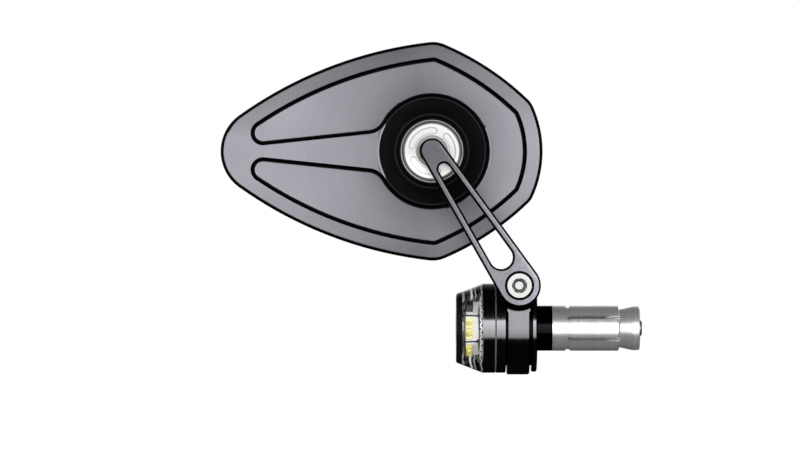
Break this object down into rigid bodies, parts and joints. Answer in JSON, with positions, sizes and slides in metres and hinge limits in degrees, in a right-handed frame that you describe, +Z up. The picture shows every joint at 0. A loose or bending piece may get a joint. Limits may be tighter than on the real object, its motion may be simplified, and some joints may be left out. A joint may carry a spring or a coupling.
{
  "type": "motorcycle bar end mirror",
  "caption": "Bar end mirror on a slotted swivel arm, clamped round a bar end indicator lamp with an expanding plug for the handlebar tube.",
  "frame": {"origin": "centre of the handlebar tube's end face, on the tube's axis", "axes": "+X into the handlebar tube, +Z up, +Y towards the rider, which the glass faces"},
  "size_m": [0.164, 0.0552, 0.1295],
  "materials": {
    "black_anodised": "satin black anodised",
    "bare_aluminium": "turned",
    "stainless": "turned stainless steel",
    "nut_silver": "clear anodised",
    "acetal": "turned acetal",
    "acetal_natural": "acetal",
    "nitrile": "moulded",
    "clear_lens": "clear polycarbonate",
    "board_white": "white solder mask",
    "amber_led": "phosphor under silicone",
    "reflector_chrome": "metallised",
    "circuit": "solder mask",
    "foam": "adhesive foam",
    "mirror": "silvered convex glass"
  },
  "bodies": {
    "bar_unit": {"lamp_body": "black_anodised", "rear_flange": "black_anodised", "cable_gland": "nitrile", "lamp_bezel": "black_anodised", "lens_seal": "nitrile", "lamp_lens": "clear_lens", "cap_seal": "nitrile", "end_cap": "black_anodised", "led_core": "bare_aluminium", "reflector": "reflector_chrome", "lamp_circuit": "circuit", "expander_collet": "bare_aluminium", "led_board_1": "board_white", "led_1_lower": "amber_led", "led_1_upper": "amber_led", "led_board_2": "board_white", "led_2_lower": "amber_led", "led_2_upper": "amber_led", "led_board_3": "board_white", "led_3_lower": "amber_led", "led_3_upper": "amber_led", "led_board_4": "board_white", "led_4_lower": "amber_led", "led_4_upper": "amber_led", "led_board_5": "board_white", "led_5_lower": "amber_led", "led_5_upper": "amber_led", "led_board_6": "board_white", "led_6_lower": "amber_led", "led_6_upper": "amber_led"},
    "draw_screw": {"draw_screw": "stainless"},
    "expander_cone": {"expander_cone": "bare_aluminium"},
    "clamp": {"clamp_ring": "black_anodised", "pinch_screw": "stainless", "pivot_screw": "stainless", "pivot_washer": "acetal"},
    "arm": {"arm": "black_anodised", "ball_stud": "stainless"},
    "ball_liner": {"ball_liner": "acetal_natural"},
    "ball_seats": {"front_seat": "acetal", "rear_seat": "acetal"},
    "mirror_head": {"mirror_housing": "black_anodised", "socket_nut": "nut_silver", "disc_spring": "stainless", "glass_pad": "foam", "mirror_glass": "mirror"}
  },
  "joints": [
    {"name": "clamp_turn", "type": "hinge", "parent": "bar_unit", "child": "clamp", "pos_m": [-0.00725, 0, 0], "axis": [1, 0, 0], "continuous": true},
    {"name": "arm_pivot", "type": "hinge", "parent": "clamp", "child": "arm", "pos_m": [-0.00725, -0.025, 0.01695], "axis": [0, 1, 0], "range_deg": [-20, 60]},
    {"name": "head_tilt", "type": "hinge", "parent": "arm", "child": "ball_liner", "pos_m": [-0.04077, -0.0061, 0.06887], "axis": [1, 0, 0], "range_deg": [-10, 10]},
    {"name": "head_swing", "type": "hinge", "parent": "ball_liner", "child": "ball_seats", "pos_m": [-0.04077, -0.0061, 0.06887], "axis": [0, 0, 1], "range_deg": [-10, 10]},
    {"name": "head_spin", "type": "hinge", "parent": "ball_seats", "child": "mirror_head", "pos_m": [-0.04077, -0.0061, 0.06887], "axis": [0, 1, 0], "range_deg": [-45, 45]},
    {"name": "draw_screw_turn", "type": "hinge", "parent": "bar_unit", "child": "draw_screw", "pos_m": [0, 0, 0], "axis": [1, 0, 0], "range_deg": [0, 720]},
    {"name": "cone_draw", "type": "slide", "parent": "bar_unit", "child": "expander_cone", "axis": [-1, 0, 0], "range_m": [0, 0.002]}
  ],
  "couplings": [
    {"joint": "draw_screw_turn", "follows": "cone_draw", "rad_per_m": 6283.2}
  ]
}
